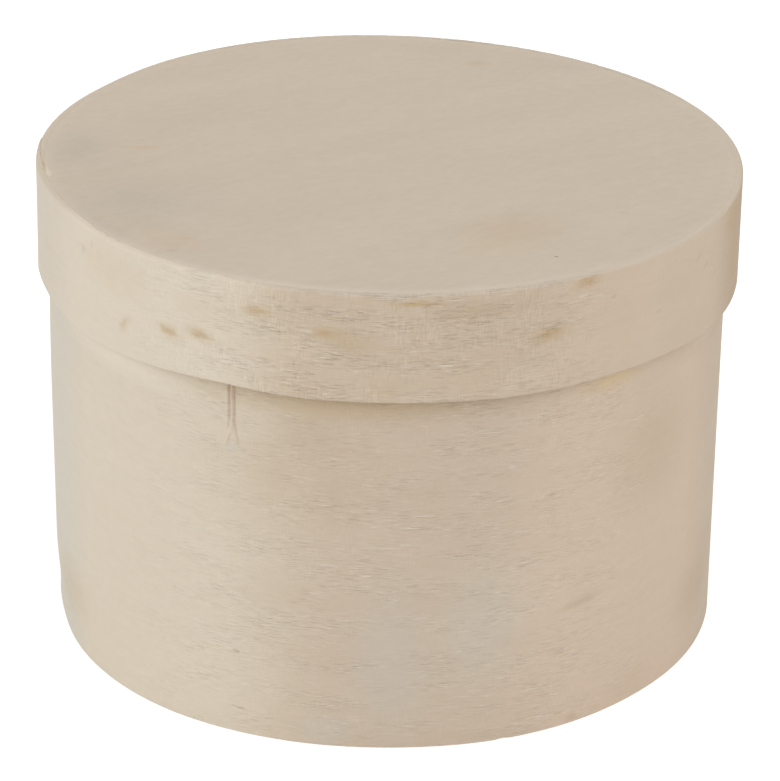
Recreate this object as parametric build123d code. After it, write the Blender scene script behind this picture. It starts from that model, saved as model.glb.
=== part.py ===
from build123d import *
import math
import os

# A round bentwood cheese box. Two strips of thin veneer are bent into rings, and each ring is closed
# by a scarfed lap. A thin round board is glued into the foot of the tall ring, which is the wall, and
# another into the top of the low ring, which is the rim of the lid. Millimetres, +Z up. The origin is
# the centre of the underside, -Y is the front, and angles run counter-clockwise from +X.

# Overall sizes
lid_diameter = 120.0
box_height = 83.0
rim_height = 19.0

# Veneer, and the play between the lid's rim and the wall
wall_veneer = 1.2
rim_veneer = 1.2
lid_play = 0.9

# Round boards
base_board_thickness = 3.0
lid_board_thickness = 2.5
lid_board_recess = 0.3
board_arris = 0.2

# Laps: the two ends of a strip are bevelled, and the outer end is glued over the inner one.
# Seen from above, a strip is wound clockwise or counter-clockwise from its inner end.
wall_scarf_length = 16.0
wall_lap_angle = 104.0
wall_clockwise = False
rim_scarf_length = 14.0
rim_lap_angle = 188.0
rim_clockwise = True
bevel_tip = 0.1
lap_glue = 0.2
lap_glue_inset = 0.5
lap_run_up = 9.0

# Glue round the boards: a film in the gap, and a hollow bead in the corner. The lid's bead is narrow,
# because the wall passes close by it.
board_glue = 0.2
base_bead_width = 1.2
base_bead_height = 1.2
lid_bead_width = 0.4
lid_bead_height = 0.9
bead_hollow_share = 0.36

# Sanding of the rings' outer edges
wall_edge_round = 0.3
rim_edge_round = 0.35

# Radii and heights that follow
rim_inner_radius = lid_diameter / 2 - rim_veneer
wall_inner_radius = rim_inner_radius - lid_play - wall_veneer
lid_board_radius = rim_inner_radius - board_glue
base_board_radius = wall_inner_radius - board_glue
rim_bottom = box_height - rim_height
lid_board_top = box_height - lid_board_recess
wall_top = lid_board_top - lid_board_thickness
lap_step = bevel_tip + lap_glue

full_turn = 360
standing = (Align.CENTER, Align.CENTER, Align.MIN)


class BentStrip:
    """The plan of a strip of veneer that is bent once round. A place along it is an angle, counted
    from its inner end in the direction that it is wound. Near the end of the turn it climbs over its
    inner end by the lap step, and it stops one scarf further on."""

    def __init__(self, inner_radius, veneer, scarf_length, lap_angle, clockwise):
        self.inner = inner_radius
        self.outer = inner_radius + veneer
        self.lap_angle = lap_angle
        self.turn_sign = -1 if clockwise else 1
        self.scarf = math.degrees(scarf_length / self.outer)
        self.climb_start = full_turn - math.degrees(lap_run_up / self.outer)

    def point(self, radius, angle):
        """The point at that radius and that angle along the strip."""
        turn = math.radians(self.lap_angle + self.turn_sign * angle)
        return (radius * math.cos(turn), radius * math.sin(turn))

    def arc(self, start_radius, start_angle, end_radius, end_angle):
        """An arc whose radius drifts from one value to the other."""
        start = self.point(start_radius, start_angle)
        middle = self.point((start_radius + end_radius) / 2, (start_angle + end_angle) / 2)
        return ThreePointArc(start, middle, self.point(end_radius, end_angle))

    def step(self, start_radius, end_radius, angle):
        """A straight step from one radius to another."""
        return Line(self.point(start_radius, angle), self.point(end_radius, angle))

    def inner_face(self):
        """The edges of the strip's concave side, from where it leaves its inner end back to that end."""
        return [
            self.arc(self.inner + lap_step, full_turn, self.inner, self.climb_start),
            self.arc(self.inner, self.climb_start, self.inner, full_turn / 2),
            self.arc(self.inner, full_turn / 2, self.inner, 0),
        ]

    def outer_face(self):
        """The edges of its convex side, from the end of the inner bevel to the outer end."""
        stop = full_turn + self.scarf
        return [
            self.arc(self.outer, self.scarf, self.outer, full_turn / 2),
            self.arc(self.outer, full_turn / 2, self.outer, self.climb_start),
            self.arc(self.outer, self.climb_start, self.outer + lap_step, full_turn),
            self.arc(self.outer + lap_step, full_turn, self.outer + lap_step, stop),
        ]

    def plan(self):
        """The strip itself."""
        stop = full_turn + self.scarf
        return make_face(
            [
                self.step(self.inner, self.inner + bevel_tip, 0),
                self.arc(self.inner + bevel_tip, 0, self.outer, self.scarf),
                *self.outer_face(),
                self.step(self.outer + lap_step, self.outer + lap_glue, stop),
                self.arc(self.outer + lap_glue, stop, self.inner + lap_step, full_turn),
                *self.inner_face(),
            ]
        )

    def lap_glue_plan(self):
        """The glue between its two bevels."""
        return make_face(
            [
                self.arc(self.inner + bevel_tip, 0, self.outer, self.scarf),
                self.step(self.outer, self.outer + lap_glue, self.scarf),
                self.arc(self.outer + lap_glue, self.scarf, self.inner + lap_step, 0),
                self.step(self.inner + lap_step, self.inner + bevel_tip, 0),
            ]
        )

    def inside_plan(self):
        """The space that the strip goes round."""
        return make_face([self.step(self.inner, self.inner + lap_step, 0), *self.inner_face()])


def raised(plan, bottom, top):
    """The plan carried straight up from one height to another."""
    return Pos(0, 0, bottom) * extrude(plan, top - bottom, dir=(0, 0, 1))


def drum(radius, bottom, top):
    """A plain cylinder between two heights."""
    return Pos(0, 0, bottom) * Cylinder(radius, top - bottom, align=standing)


def bent_ring(strip, bottom, top, edge_round):
    """A strip as high as the ring, with its outer edges sanded off to a rounded drum."""
    sanded = drum(strip.outer + lap_step, bottom, top)
    sanded = fillet(sanded.edges().filter_by(GeomType.CIRCLE), edge_round)
    return raised(strip.plan(), bottom, top) & sanded


def round_board(radius, bottom, thickness, eased_edge):
    """A round board with an arris on one edge: 0 is its lower edge, and -1 its upper one."""
    board = drum(radius, bottom, bottom + thickness)
    return chamfer(board.edges().filter_by(GeomType.CIRCLE).sort_by(Axis.Z)[eased_edge], board_arris)


def bead_ring(ring_radius, corner, width, rise):
    """A bead with two flat faces round the inside of a ring. It hangs where its rise is negative."""
    root = (ring_radius, corner)
    foot = (ring_radius - width, corner)
    tip = (ring_radius, corner + rise)
    hollow = (ring_radius - width * bead_hollow_share, corner + rise * bead_hollow_share)
    outline = make_face(Polyline(foot, root, tip, hollow, foot))
    return revolve(Plane.XZ * outline, Axis.Z)


def glue_film(strip, board_radius, low, high):
    """The glue in the gap between a board and its ring."""
    return raised(strip.inside_plan(), low, high) - drum(board_radius, low, high)


wall_strip = BentStrip(wall_inner_radius, wall_veneer, wall_scarf_length, wall_lap_angle, wall_clockwise)
rim_strip = BentStrip(rim_inner_radius, rim_veneer, rim_scarf_length, rim_lap_angle, rim_clockwise)


def wall_ring():
    """The tall ring, which is the wall of the box."""
    return bent_ring(wall_strip, 0, wall_top, wall_edge_round)


def wall_lap_glue():
    """The glue in the lap of the wall."""
    return raised(wall_strip.lap_glue_plan(), lap_glue_inset, wall_top - lap_glue_inset)


def base_board():
    """The board in the foot of the wall, flush with its lower edge."""
    return round_board(base_board_radius, 0, base_board_thickness, 0)


def base_board_glue():
    """The glue round the base board, with its bead standing in the corner inside the box."""
    film = glue_film(wall_strip, base_board_radius, board_arris, base_board_thickness)
    return film + bead_ring(wall_inner_radius, base_board_thickness, base_bead_width, base_bead_height)


def rim_ring():
    """The low ring, which is the rim of the lid."""
    return bent_ring(rim_strip, rim_bottom, box_height, rim_edge_round)


def rim_lap_glue():
    """The glue in the lap of the rim."""
    return raised(rim_strip.lap_glue_plan(), rim_bottom + lap_glue_inset, box_height - lap_glue_inset)


def lid_board():
    """The board in the top of the rim, a little below its upper edge. It rests on top of the wall."""
    return round_board(lid_board_radius, wall_top, lid_board_thickness, -1)


def lid_board_glue():
    """The glue round the lid board, with its bead hanging in the corner under the lid."""
    film = glue_film(rim_strip, lid_board_radius, wall_top, lid_board_top - board_arris)
    return film + bead_ring(rim_inner_radius, wall_top, lid_bead_width, -lid_bead_height)


pieces = [
    wall_ring,
    wall_lap_glue,
    base_board,
    base_board_glue,
    rim_ring,
    rim_lap_glue,
    lid_board,
    lid_board_glue,
]

os.makedirs("parts", exist_ok=True)
for piece in pieces:
    export_step(piece(), f"parts/{piece.__name__}.step")
print("ok")
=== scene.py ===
"""A round bentwood cheese box in pale unfinished veneer, dressed for its pictures.

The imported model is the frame: it says where each piece is and how large. Here the two veneer strips are
bent again as slightly crooked, lapped surfaces, the round boards are set into them, and dried glue fills
the joints. Sizes are millimetres and angles degrees, counter-clockwise from +X as seen from above, and the
front is -Y. A strip's own coordinates are the distance along its grain and the distance across it.
"""
import logging
import math
from dataclasses import dataclass, replace
from enum import Enum
from typing import Callable, Optional, Sequence, Union

import bpy
import numpy as np
from mathutils import Matrix, Vector


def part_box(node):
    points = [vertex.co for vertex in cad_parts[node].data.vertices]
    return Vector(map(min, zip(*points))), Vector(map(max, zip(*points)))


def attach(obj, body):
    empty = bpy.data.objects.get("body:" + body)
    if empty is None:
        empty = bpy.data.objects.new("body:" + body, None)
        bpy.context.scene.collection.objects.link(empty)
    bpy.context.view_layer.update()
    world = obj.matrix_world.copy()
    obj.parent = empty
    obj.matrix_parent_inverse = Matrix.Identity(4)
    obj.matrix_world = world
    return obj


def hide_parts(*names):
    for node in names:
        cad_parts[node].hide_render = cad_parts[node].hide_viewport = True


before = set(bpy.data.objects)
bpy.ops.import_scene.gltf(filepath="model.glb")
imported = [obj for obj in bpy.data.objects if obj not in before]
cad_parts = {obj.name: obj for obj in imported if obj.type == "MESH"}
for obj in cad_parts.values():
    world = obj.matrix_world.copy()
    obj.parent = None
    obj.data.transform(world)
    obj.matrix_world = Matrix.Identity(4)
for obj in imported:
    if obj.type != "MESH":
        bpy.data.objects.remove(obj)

log = logging.getLogger("cheese_box")

MM = 0.001
FULL_TURN = 360.0
GRAIN_MAP = "grain"
EDGE_MASK = "edge"

Numbers = Union[float, np.ndarray]
Pair = tuple[float, float]
Triple = tuple[float, float, float]
Colour = Triple
Spots = Sequence[Triple]
Relief = Callable[[Numbers, Numbers], np.ndarray]


# Lines and swells

def swell(distance: Numbers) -> np.ndarray:
    """A bell: e to the power of -distance squared, so 1 where the distance is 0 and next to 0 at 2."""
    return np.exp(-np.square(distance))


def turned(degrees: Numbers) -> np.ndarray:
    """The same angle between -180 and 180."""
    return (np.asarray(degrees) + FULL_TURN / 2) % FULL_TURN - FULL_TURN / 2


def ramp(value: Numbers, start: float, stop: float) -> np.ndarray:
    """A straight rise from 0 at the start to 1 at the stop."""
    return np.clip((np.asarray(value) - start) / (stop - start), 0.0, 1.0)


def crowded(count: int, start: float, stop: float, spots: Spots) -> np.ndarray:
    """Steps from the start to the stop that draw together round some spots.

    The steps' density is 1 plus, for each spot, its gain times a bell round it. The density is summed up on
    a line with many more steps, and the places are read off that sum at even intervals.

    Args:
        count: How many places to return.
        start: The first place.
        stop: The last place.
        spots: The middle, reach and gain of each bell.

    Returns:
        The places, in rising order.
    """
    finer = 40
    fine = np.linspace(start, stop, finer * count)
    density = np.ones_like(fine)
    for middle, reach, gain in spots:
        density += gain * swell((fine - middle) / reach)
    total = np.cumsum(density) - density[0]
    return np.interp(np.linspace(0.0, total[-1], count), total, fine)


@dataclass(frozen=True)
class Wobble:
    """An unsteady line round the box: the sum of waves that go round a whole number of times, from the
    fewest to the most, with seeded phases. A wave's height is its rise over the root of its count."""

    rise: float
    fewest: int
    most: int
    seed: int

    def at(self, degrees: np.ndarray) -> np.ndarray:
        """The line's height at these angles.

        Args:
            degrees: Angles round the box.

        Returns:
            Heights in millimetres, about the rise in size, on both sides of 0.
        """
        counts = np.arange(self.fewest, self.most + 1)
        phases = np.random.default_rng(self.seed).uniform(0.0, 2.0 * math.pi, counts.size)
        weights = 1.0 / np.sqrt(counts)
        waves = np.cos(np.radians(degrees)[..., None] * counts + phases)
        return self.rise * (waves @ weights) / math.sqrt(np.square(weights).sum() / 2.0)


@dataclass(frozen=True)
class Bulge:
    """A place where a strip stands out, or in where its rise is below 0: a bell over angle and height."""

    angle: float
    height: float
    reach_round: float
    reach_up: float
    rise: float

    def at(self, degrees: np.ndarray, heights: np.ndarray) -> np.ndarray:
        """How far the strip is moved outwards.

        Args:
            degrees: Angles round the box.
            heights: Heights.

        Returns:
            Millimetres.
        """
        round_it = turned(degrees - self.angle) / self.reach_round
        up_it = (heights - self.height) / self.reach_up
        return self.rise * swell(np.hypot(round_it, up_it))


@dataclass(frozen=True)
class Dip:
    """A stretch of an edge that is cut higher or lower than the rest: a bell over angle."""

    angle: float
    reach: float
    rise: float

    def at(self, degrees: np.ndarray) -> np.ndarray:
        """How far the edge is raised at these angles, in millimetres."""
        return self.rise * swell(turned(degrees - self.angle) / self.reach)


# Meshes

@dataclass
class Sheet:
    """A closed surface in the making: points, faces of four and of three corners, and for each face the
    grain coordinates of its corners. The mask is 1 where wood is a cut edge, or glue was squeezed out."""

    points: np.ndarray
    quads: np.ndarray
    quad_grain: np.ndarray
    triangles: np.ndarray
    triangle_grain: np.ndarray
    mask: np.ndarray

    def into_object(self, name: str) -> bpy.types.Object:
        """Makes the object, with its place in its mesh.

        Args:
            name: The piece's name.

        Returns:
            The new object, at the origin, with smooth faces.
        """
        mesh = bpy.data.meshes.new(name)
        faces = self.quads.tolist() + self.triangles.tolist()
        mesh.from_pydata((self.points * MM).tolist(), [], faces)
        grain = np.concatenate([self.quad_grain.reshape(-1, 2), self.triangle_grain.reshape(-1, 2)])
        mesh.uv_layers.new(name=GRAIN_MAP).uv.foreach_set("vector", grain.astype(np.float32).ravel())
        mask = mesh.attributes.new(EDGE_MASK, "FLOAT", "POINT")
        mask.data.foreach_set("value", self.mask.astype(np.float32).ravel())
        mesh.polygons.foreach_set("use_smooth", np.ones(len(mesh.polygons), dtype=bool))
        mesh.validate()
        mesh.update()
        piece = bpy.data.objects.new(name, mesh)
        bpy.context.scene.collection.objects.link(piece)
        return piece


def grid_faces(rows: int, columns: int, flipped: bool) -> np.ndarray:
    """The faces of a grid of points, numbered row by row.

    Args:
        rows: How many points the grid has the first way.
        columns: How many it has the second way.
        flipped: True where the faces are to point the other way.

    Returns:
        An array of (rows - 1) by (columns - 1) by 4 point numbers.
    """
    numbers = np.arange(rows * columns).reshape(rows, columns)
    corners = [numbers[:-1, :-1], numbers[1:, :-1], numbers[1:, 1:], numbers[:-1, 1:]]
    faces = np.stack(corners, axis=-1)
    return faces[..., ::-1] if flipped else faces


def woven_faces(
    rows: int, columns: int, flipped: bool, ring: bool = False, tube: bool = False
) -> np.ndarray:
    """The faces of a grid of points that may be closed on itself, so that the last row or column is followed
    by the first one.

    Args:
        rows: How many points the grid has the first way.
        columns: How many it has the second way.
        flipped: True where the faces are to point the other way.
        ring: True where the rows are closed.
        tube: True where the columns are.

    Returns:
        A list of faces, each with 4 point numbers.
    """
    wide = columns + tube
    row, column = np.divmod(grid_faces(rows + ring, wide, flipped), wide)
    return ((row % rows) * columns + column % columns).reshape(-1, 4)


def corner_values(values: np.ndarray, flipped: bool) -> np.ndarray:
    """The values of a grid's points, gathered for the corners of its faces.

    Args:
        values: Two values for each point.
        flipped: True where the faces point the other way.

    Returns:
        A list of faces, with the two values of each of its 4 corners, in the order of grid_faces.
    """
    corners = [values[:-1, :-1], values[1:, :-1], values[1:, 1:], values[:-1, 1:]]
    gathered = np.stack(corners, axis=2)
    return (gathered[:, :, ::-1] if flipped else gathered).reshape(-1, 4, 2)


def round_points(radii: np.ndarray, heights: np.ndarray, degrees: np.ndarray) -> np.ndarray:
    """Points given by radius, height and angle: X is radius times cosine, Y is radius times sine.

    Args:
        radii: The radii.
        heights: The heights.
        degrees: The angles.

    Returns:
        The points, with one more dimension than the radii.
    """
    turns = np.radians(degrees)
    return np.stack([radii * np.cos(turns), radii * np.sin(turns), heights], axis=-1)


def no_triangles() -> tuple[np.ndarray, np.ndarray]:
    """Empty arrays for a surface of four-cornered faces only."""
    return np.zeros((0, 3), dtype=int), np.zeros((0, 3, 2))


def closed_ring(radii: np.ndarray, heights: np.ndarray, angles: np.ndarray, mask: np.ndarray) -> Sheet:
    """A section carried once round the box and closed on itself both ways.

    Point (i, j) is at angle i, at the radius and height that the section has there at its place j.

    Args:
        radii: An array of angles by places round the section, clockwise as seen with the box on its left.
        heights: The same for the heights.
        angles: The angles, which stop one step short of a whole turn.
        mask: The mask of the same points.

    Returns:
        The surface.
    """
    around = np.radians(np.append(angles, angles[0] + FULL_TURN)) * radii.mean()
    steps = np.hypot(np.diff(radii[0], append=radii[0, 0]), np.diff(heights[0], append=heights[0, 0]))
    across = np.concatenate([[0.0], np.cumsum(steps)])
    grain = np.stack(np.broadcast_arrays(around[:, None], across[None, :]), axis=-1)
    return Sheet(
        round_points(radii, heights, angles[:, None]).reshape(-1, 3),
        woven_faces(*radii.shape, False, ring=True, tube=True),
        corner_values(grain, False),
        *no_triangles(),
        mask.ravel(),
    )


# The bent strips

class Winding(Enum):
    """Which way a strip goes round from its inner end, as seen from above."""

    COUNTER_CLOCKWISE = 1
    CLOCKWISE = -1


@dataclass(frozen=True)
class Lap:
    """How a strip closes. Both ends are bevelled, and the outer end is glued over the inner one. Over the
    run-up the strip climbs by the thickness of the inner bevel's tip and the glue. Towards the outer end
    the glue gets thinner by the squeeze, a share of it."""

    angle: float
    winding: Winding
    scarf: float
    tip: float = 0.1
    glue: float = 0.2
    run_up: float = 9.0
    squeeze: float = 0.0

    @property
    def step(self) -> float:
        """How far the strip climbs."""
        return self.tip + self.glue


@dataclass(frozen=True)
class Strip:
    """A strip of veneer bent round once, with a lap. Places along it are angles from its inner end in the
    direction of its winding, so they run from 0 to a whole turn and one scarf."""

    inner: float
    outer: float
    bottom: float
    top: float
    lap: Lap
    edge_round: float
    inner_round: float
    bulges: tuple[Bulge, ...]
    foot_dips: tuple[Dip, ...]
    crest_dips: tuple[Dip, ...]
    fray: float

    @property
    def thickness(self) -> float:
        """The veneer's thickness."""
        return self.outer - self.inner

    @property
    def scarf_angle(self) -> float:
        """The angle that the lap covers."""
        return math.degrees(self.lap.scarf / self.outer)

    @property
    def climb_start(self) -> float:
        """The place along the strip where it begins to climb over its inner end."""
        return FULL_TURN - math.degrees(self.lap.run_up / self.outer)

    def bearing(self, along: np.ndarray) -> np.ndarray:
        """The angle round the box of a place along the strip."""
        return self.lap.angle + self.lap.winding.value * along

    def along(self, bearing: Numbers) -> np.ndarray:
        """The place along the strip's first turn of an angle round the box."""
        return (self.lap.winding.value * (np.asarray(bearing) - self.lap.angle)) % FULL_TURN

    def climb(self, along: np.ndarray) -> np.ndarray:
        """How far the strip has climbed at these places."""
        squeezed = self.lap.glue * self.lap.squeeze * ramp(along, FULL_TURN, FULL_TURN + self.scarf_angle)
        return self.lap.step * ramp(along, self.climb_start, FULL_TURN) - squeezed

    def inner_face(self, along: np.ndarray) -> np.ndarray:
        """The radius of the strip's inner face, with the bevel under its outer end."""
        bevel = (self.thickness - self.lap.tip) * ramp(along, FULL_TURN, FULL_TURN + self.scarf_angle)
        return self.inner + self.climb(along) + bevel

    def outer_face(self, along: np.ndarray) -> np.ndarray:
        """The radius of the strip's outer face, with the bevel on its inner end."""
        bevel = (self.thickness - self.lap.tip) * (1.0 - ramp(along, 0.0, self.scarf_angle))
        return self.outer + self.climb(along) - bevel

    def cover(self, along: np.ndarray) -> np.ndarray:
        """The thickness of the outer end where it lies over these places near the inner one."""
        bevel = (self.thickness - self.lap.tip) * (1.0 - ramp(along, 0.0, self.scarf_angle))
        return (self.lap.tip + bevel) * (along < self.scarf_angle)

    def worn(self, along: np.ndarray) -> np.ndarray:
        """How far the edges of the outer end are sanded down where it is thinner than the edge's rounding:
        it keeps the rounding of the whole edge, a quarter circle.

        Args:
            along: Places along the strip.

        Returns:
            Millimetres, 0 but for the outer end.
        """
        thickness = self.outer_face(along) - self.inner_face(along)
        missing = np.clip(1.0 - thickness / self.edge_round, 0.0, 1.0)
        return self.edge_round * (1.0 - np.sqrt(1.0 - missing**2)) * (along > FULL_TURN)

    def crookedness(self, bearing: np.ndarray, height: np.ndarray) -> np.ndarray:
        """How far the strip stands out of the round at these places: the sum of its bulges."""
        still_round = np.zeros(np.broadcast(bearing, height).shape)
        return sum((bulge.at(bearing, height) for bulge in self.bulges), still_round)

    def foot(self, bearing: np.ndarray) -> np.ndarray:
        """The height of the strip's lower edge."""
        return self.bottom + sum((dip.at(bearing) for dip in self.foot_dips), np.zeros_like(bearing))

    def crest(self, bearing: np.ndarray) -> np.ndarray:
        """The height of the strip's upper edge."""
        return self.top + sum((dip.at(bearing) for dip in self.crest_dips), np.zeros_like(bearing))

    def grain_place(self, bearing: float, height: float) -> Pair:
        """The place on the outer face, as the distance along the strip from its inner end and the height."""
        return float(np.radians(self.along(bearing))) * self.outer, height

    def inside_radius(self, bearing: np.ndarray, height: float) -> np.ndarray:
        """The radius of the free inner face at these angles."""
        along = self.along(bearing)
        return self.inner_face(along) + self.crookedness(bearing, np.full_like(bearing, height))


@dataclass(frozen=True)
class HalfSection:
    """One side of a strip's section, from the middle of its lower edge to the middle of its upper one. For
    each point it holds how far it is set in from the face, in units of the edge's rounding, 1 where it lies
    in the middle of the thickness, its distance from the nearer edge, in the same units, and its share of
    the way up."""

    inset: np.ndarray
    middle: np.ndarray
    lift: np.ndarray
    share: np.ndarray

    @property
    def columns(self) -> tuple[np.ndarray, ...]:
        """The four values of every point."""
        return self.inset, self.middle, self.lift, self.share

    @classmethod
    def with_rows(cls, shares: np.ndarray, arc_steps: int = 4) -> "HalfSection":
        """Lays out a half section.

        Args:
            shares: Where the rows of the straight face are, as shares of its height.
            arc_steps: How many steps round off each edge.

        Returns:
            The half section. Its edges are quarter circles: inset 1 - sin, lift 1 - cos.
        """
        arc = np.linspace(0.0, math.pi / 2.0, arc_steps + 1)
        inset, lift = 1.0 - np.sin(arc), 1.0 - np.cos(arc)
        rows, ends = np.zeros(shares.size), np.zeros(arc.size)
        return cls(
            inset=np.concatenate([[1.0], inset, rows, inset[::-1], [1.0]]),
            middle=np.concatenate([[1.0], ends, rows, ends, [1.0]]),
            lift=np.concatenate([[0.0], lift, rows + 1.0, lift[::-1], [0.0]]),
            share=np.concatenate([[0.0], ends, shares, ends + 1.0, [1.0]]),
        )


# The share of its rounding that an edge keeps where the other end of the strip covers it
SHARP = 0.1

# Over how many degrees past its first turn the strip's inner edges get as sharp
SHARPENING = 0.4

# The largest rounding of an edge, as a share of the strip's thickness
MOST_BEND = 0.45

# The uneven line of a cut edge that is frayed by 1 mm
FRAYING = Wobble(1.0, 60, 420, 5)


def strip_surface(
    strip: Strip, places: np.ndarray, half: HalfSection, relief: Optional[Relief] = None
) -> Sheet:
    """The strip as one closed surface: its section carried along its bent path.

    At each place along the strip, the outer side of the section starts at the middle of the lower edge and
    goes up the outer face to the middle of the upper edge, and the inner side comes down again. A point's
    radius is its face's radius, less its inset, plus the strip's crookedness and, on the outer face, the
    relief. The edges are nearly sharp where the bevels face each other in the lap. The first and last
    sections are closed by a ladder of faces.

    Args:
        strip: The strip.
        places: The places along it, in degrees.
        half: The half section.
        relief: A function of angle and height that gives how far the outer face stands proud, or None.

    Returns:
        The surface, with grain coordinates along the strip and round its section.
    """
    along, count = places[:, None], half.share.size
    bearing = strip.bearing(along)
    inner, outer = strip.inner_face(along), strip.outer_face(along)
    thickness = outer - inner
    foot, crest = strip.foot(bearing) + strip.worn(along), strip.crest(bearing) - strip.worn(along)
    fray = strip.fray * FRAYING.at(strip.bearing(places))[:, None]
    free_outside = np.clip(1.0 - strip.cover(along) / strip.edge_round, SHARP, 1.0)
    free_inside = SHARP + (1.0 - SHARP) * ramp(-along, -FULL_TURN, SHARPENING - FULL_TURN)

    def side(
        rounding: np.ndarray, face: np.ndarray, outward: float, part: slice, step: int
    ) -> tuple[np.ndarray, ...]:
        """Lays out one side of the section.

        Args:
            rounding: The rounding of its edges, at each place along the strip.
            face: The radius of its face there.
            outward: 1 for the outer side and -1 for the inner one.
            part: Which of the half section's points it has.
            step: 1 where it goes up and -1 where it comes down.

        Returns:
            The points' radii, heights, distances from the face, edge mask and shares of the way up.
        """
        inset, middle, lift, share = (values[part][::step] for values in half.columns)
        bend = np.minimum(rounding, MOST_BEND * thickness)
        set_in = inset * bend + middle * (thickness / 2.0 - bend)
        height = (1.0 - share) * (foot + lift * bend) + share * (crest - lift * bend)
        on_edge = (1.0 - np.clip(lift, 0.0, 1.0)) * np.ones_like(set_in)
        height = height - np.abs(fray) * on_edge * (2.0 * share - 1.0)
        return face - outward * set_in, height, set_in, on_edge, share

    radius_out, height_out, set_out, edge_out, share_out = side(
        strip.edge_round * free_outside, outer, 1.0, slice(0, count), 1
    )
    radius_in, height_in, set_in, edge_in, share_in = side(
        strip.inner_round * free_inside, inner, -1.0, slice(1, count - 1), -1
    )
    radius = np.concatenate([radius_out, radius_in], axis=1)
    height = np.concatenate([height_out, height_in], axis=1)
    radius = radius + strip.crookedness(bearing, height)
    if relief is not None:
        radius[:, :count] += relief(bearing, height_out) * (1.0 - edge_out)

    tall = strip.top - strip.bottom
    across_out = height_out + set_out * np.where(share_out > 0.5, 1.0, -1.0)
    down_start = strip.top + strip.thickness + tall
    across_in = strip.top + strip.thickness + (strip.top - height_in) - set_in * (share_in > 0.5)
    across_in = across_in + set_in * (share_in < 0.5)
    closing = np.full((places.size, 1), down_start + strip.thickness / 2.0)
    across = np.concatenate([across_out, across_in, closing], axis=1)
    distance = np.radians(along) * strip.outer * np.ones_like(across)
    grain = np.stack([distance, across], axis=-1)

    rows, columns = radius.shape
    flipped = strip.lap.winding is Winding.CLOCKWISE
    ladders = [end_ladder(count, columns, 0, flipped), end_ladder(count, columns, rows - 1, not flipped)]
    flat_grain = grain[:, :columns].reshape(-1, 2)
    cap_quads = np.concatenate([ladder[0] for ladder in ladders])
    cap_triangles = np.concatenate([ladder[1] for ladder in ladders])
    return Sheet(
        round_points(radius, height, bearing).reshape(-1, 3),
        np.concatenate([woven_faces(rows, columns, flipped, tube=True), cap_quads]),
        np.concatenate([corner_values(grain, flipped), flat_grain[cap_quads]]),
        cap_triangles,
        flat_grain[cap_triangles],
        np.concatenate([edge_out, edge_in], axis=1).ravel(),
    )


def end_ladder(count: int, columns: int, row: int, flipped: bool) -> tuple[np.ndarray, np.ndarray]:
    """The faces that close a strip's end: a ladder between the two sides of its section.

    Args:
        count: How many points one side of the section has.
        columns: How many points the whole section has.
        row: Which section is closed.
        flipped: True where the faces are to point the other way.

    Returns:
        The four-cornered faces, and the three-cornered ones at the two edges.
    """
    outer_side = np.arange(count)
    inner_side = (columns - outer_side) % columns
    inner_side[-1] = count - 1
    rungs = [outer_side[1:-2], inner_side[1:-2], inner_side[2:-1], outer_side[2:-1]]
    quads = np.stack(rungs, axis=-1) + row * columns
    tips = [[0, inner_side[1], 1], [count - 2, inner_side[-2], count - 1]]
    triangles = np.array(tips) + row * columns
    if flipped:
        return quads[:, ::-1], triangles[:, ::-1]
    return quads, triangles


# Shader maths

Link = Union["Value", bpy.types.NodeSocket, float, Sequence[float]]
Key = Union[int, str]
Settings = Optional[dict[str, object]]
Inputs = Optional[dict[Key, Link]]

# How strongly red, green and blue follow a change of tone
CHANNEL_SWING = (0.93, 1.05, 1.28)

# The way that a seed moves a pattern, so that it starts in another place of the endless noise
SEED_WAY = (1.0, 1.7, 0.6)


@dataclass(frozen=True)
class Layer:
    """A cloudy pattern. Its cell is the size of its lumps along the grain, across it and through it, in
    millimetres. The offset is added to the wood's seed, detail is how many finer patterns it has in it, and
    rough is how strong these are. A step from its first value to its second one turns it into patches."""

    cell: Triple
    offset: float
    detail: float = 2.0
    rough: float = 0.5
    step: Optional[Pair] = None


class Value:
    """A number that varies over a surface. It wraps one output socket, and sums written on it in plain
    Python add their Math nodes."""

    def __init__(self, tree: "Tree", socket: bpy.types.NodeSocket) -> None:
        """Wraps a socket of a tree."""
        self.tree = tree
        self.socket = socket

    def _math(self, operation: str, *terms: Link) -> "Value":
        """Adds one Math node."""
        return self.tree.value("Math", 0, {"operation": operation}, dict(enumerate(terms)))

    def __add__(self, other: Link) -> "Value":
        """Self plus other."""
        return self._math("ADD", self, other)

    def __radd__(self, other: Link) -> "Value":
        """Other plus self."""
        return self._math("ADD", other, self)

    def __sub__(self, other: Link) -> "Value":
        """Self less other."""
        return self._math("SUBTRACT", self, other)

    def __rsub__(self, other: Link) -> "Value":
        """Other less self."""
        return self._math("SUBTRACT", other, self)

    def __mul__(self, other: Link) -> "Value":
        """Self times other."""
        return self._math("MULTIPLY", self, other)

    def __rmul__(self, other: Link) -> "Value":
        """Other times self."""
        return self._math("MULTIPLY", other, self)

    def above(self, low: float, high: float) -> "Value":
        """A smooth step from 0 to 1.

        Args:
            low: The value at which it starts.
            high: The value at which it ends. It may be below the other one, and the step then falls.

        Returns:
            The step.
        """
        inputs = {0: self, 1: low, 2: high} if low < high else {0: self, 1: high, 2: low, 3: 1.0, 4: 0.0}
        return self.tree.value("MapRange", 0, {"interpolation_type": "SMOOTHSTEP"}, inputs)

    def at_most(self, other: Link) -> "Value":
        """The lesser of this and other."""
        return self._math("MINIMUM", self, other)


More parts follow.
